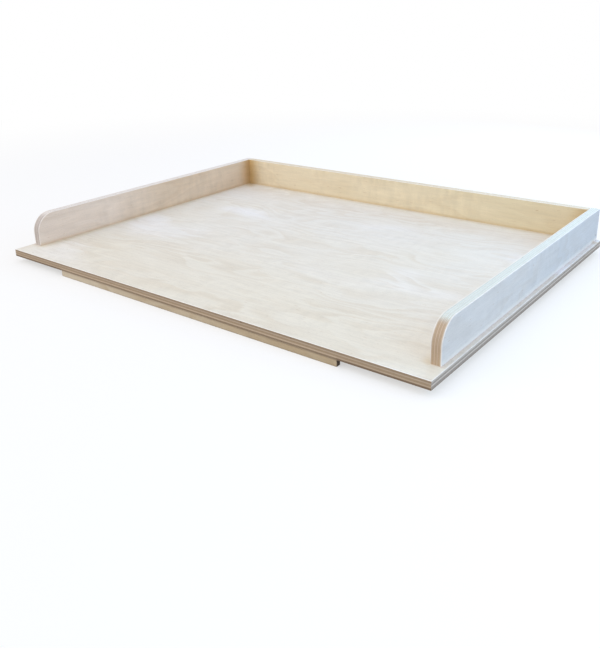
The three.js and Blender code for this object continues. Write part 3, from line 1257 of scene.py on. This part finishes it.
def plywood(name, sheet, arris):
    finish, start = new_finish(name)
    ply = lay_up(start, sheet)
    marks = {
        "growth": growth_lines(ply, sheet),
        "fibres": fibres(ply),
        "streaks": streaks(ply),
        "curl": curl(ply, sheet),
        "pores": pores(ply),
        "flecks": flecks(ply, sheet),
    }
    face = face_colour(ply, sheet, marks)
    sawn = 1.0 - ply["faces_through"].ramp(*SAWN)
    colour = sawn.mix(face, edge_colour(ply, sheet, marks, face))
    roughness = SANDED + marks["fibres"] * FIBRE_ROUGHNESS + sawn * SAWN_ROUGHER
    colour, roughness = wear_light_and_shade(colour, roughness, ply, sheet, arris)
    height = marks["fibres"] * FIBRES_STAND - marks["pores"] * PORES_SINK
    height = height - marks["growth"] * GROWTH_SINKS
    end_finish(finish, colour, roughness, metallic=0.0, height=height, strength=BUMP_STRENGTH,
               distance=BUMP_DISTANCE)
    return finish


# %% [markdown]
# ## Five pieces of wood
#
# The panel, the walls and the batten were cut from different sheets, so each has its own colours,
# its own seed and its own grain direction. Colours are written as the eye sees them and turned to
# the linear values that shaders use. A face fades from its first colour to its second one along the
# piece, and an edge has one colour for the plies that run along and one for the cross plies.

# %% Colours of the faces
def linear(code):
    """The shader's colour for one that is written as #rrggbb."""
    channels = [value / 255 for value in bytes.fromhex(code[1:])]
    return (*Color(channels).from_srgb_to_scene_linear(), 1.0)


def tones(first, second):
    return linear(first), linear(second)


panel_under = tones("#e2d8c6", "#dfd4bf")
# The work face fades from warm at the front to cooler at the rear, partly its own tone and partly
# painted cool light.
panel_top_and_cool_light = tones("#e9e2d3", "#e9e6e1")
left_outer = tones("#e4d7c4", "#e2d3bd")
left_inner = tones("#eedccc", "#e2cab0")
right_inner = tones("#e6dac9", "#e2d4bf")
# The right wall's outer face is painted cooler and bluer than its inner face, as painted cool light.
right_outer_cool_lit = tones("#e6e2df", "#d9dce0")
rear_inner = tones("#ebdbbd", "#dfcfad")
rear_outer = tones("#e4d4b8", "#e6d8c0")
stop_front = tones("#dccdb4", "#cbb797")
stop_rear = tones("#cdb998", "#cdb998")
print("the work face starts at", [round(part, 3) for part in panel_top_and_cool_light[0]])

# %% Colours of the sawn edges
panel_long = tones("#c8b399", "#a18a70")
# The panel's side edges are painted greyer and cooler than its sawn plies, as painted cool shade.
panel_end_cool_shaded = tones("#b4a69a", "#ccbfb3")
# The side walls' long-grain edges, which show on their tops, are paler than sawn birch and the right
# one bluer: partly pale birch, partly painted sheen.
left_long_and_sheen = tones("#f3ede9", "#e8dfd7")
left_end = tones("#c8bdb5", "#d0c8c3")
right_long_and_sheen = tones("#e5ebe6", "#dcdfd6")
right_end = tones("#c1a68a", "#c9b298")
rear_long = tones("#ece1cb", "#e3d4bb")
rear_end = tones("#bfa485", "#c7b095")
stop_long = tones("#c4ac8a", "#a18a6c")
# The batten's ends are painted near black, darker than end grain: painted shadow.
stop_end_shadowed = tones("#4a3b2d", "#574737")
print("the panel's front edge starts at", [round(part, 3) for part in panel_long[0]])

# %% The five sheets
panel_sheet = Sheet("work_panel", along=X, across=Y, through=Z, fade=Y, plies=7, veneer=0.6,
                    seed=2.0, figure=0.31, low_face=panel_under, high_face=panel_top_and_cool_light,
                    long_edges=panel_long, end_edges=panel_end_cool_shaded, on_table=True, has_cool_light=True)
left_sheet = Sheet("left_wall", along=Y, across=Z, through=X, fade=Y, plies=9, veneer=1.2,
                   seed=5.0, figure=0.24, low_face=left_outer, high_face=left_inner,
                   long_edges=left_long_and_sheen, end_edges=left_end, fade_span=(0.05, 0.55))
right_sheet = Sheet("right_wall", along=Y, across=Z, through=X, fade=Y, plies=9, veneer=1.2,
                    seed=8.0, figure=0.20, low_face=right_inner, high_face=right_outer_cool_lit,
                    long_edges=right_long_and_sheen, end_edges=right_end)
rear_sheet = Sheet("rear_wall", along=X, across=Z, through=Y, fade=X, plies=9, veneer=1.2,
                   seed=11.0, figure=0.22, low_face=rear_inner, high_face=rear_outer,
                   long_edges=rear_long, end_edges=rear_end)
stop_sheet = Sheet("stop_batten", along=X, across=Z, through=Y, fade=X, plies=5, veneer=1.0,
                   seed=14.0, figure=0.60, low_face=stop_front, high_face=stop_rear,
                   long_edges=stop_long, end_edges=stop_end_shadowed, on_table=True)

# %% Give the wood its finish
work_panel.data.materials.append(plywood("panel_plywood", panel_sheet, arris_of_panel))
left_wall.data.materials.append(plywood("left_wall_plywood", left_sheet, arris_of_side_wall))
right_wall.data.materials.append(plywood("right_wall_plywood", right_sheet, arris_of_side_wall))
rear_wall.data.materials.append(plywood("rear_wall_plywood", rear_sheet, arris_of_rear_wall))
stop_batten.data.materials.append(plywood("stop_plywood", stop_sheet, None))

# %% [markdown]
# ## Steel
#
# The screws are zinc plated, which gives a soft grey with cloudy patches. The pins and nails are
# bright drawn wire with fine scratches. Both are metals, so their colour is the colour of their
# reflections.

# %% Steel finishes
CLOUDY = (0.35, 0.68)
CLOUDS_DULL = 0.16
SCRATCHES_DULL = 0.18
SCRATCH_SIZE = 0.2
SCRATCH_STRENGTH = 0.15
SCRATCH_DEPTH = 0.00008


def steel(name, bright, dull, cloud_size, polish):
    finish, start = new_finish(name)
    place = start.node("TexCoord", output="Object").scaled(1 / MM)
    clouds = place.scaled(1 / cloud_size).noise(3.0, 0.6).ramp(*CLOUDY)
    scratches = place.scaled(1 / SCRATCH_SIZE).swing(2.0, 0.7)
    roughness = polish + clouds * CLOUDS_DULL + scratches * SCRATCHES_DULL
    colour = clouds.mix(bright, dull)
    end_finish(finish, colour, roughness, metallic=1.0, height=scratches,
               strength=SCRATCH_STRENGTH, distance=SCRATCH_DEPTH)
    return finish


zinc = steel("zinc_plate", linear("#dcd9cf"), linear("#b9b5a8"), cloud_size=2.2, polish=0.28)
wire = steel("drawn_wire", linear("#cfcfcd"), linear("#9f9f9e"), cloud_size=1.1, polish=0.24)
for piece in screws:
    piece.data.materials.append(zinc)
for piece in nails:
    piece.data.materials.append(wire)
print(len(screws), "zinc plated screws and", len(nails), "bright nails and pins")

# %% [markdown]
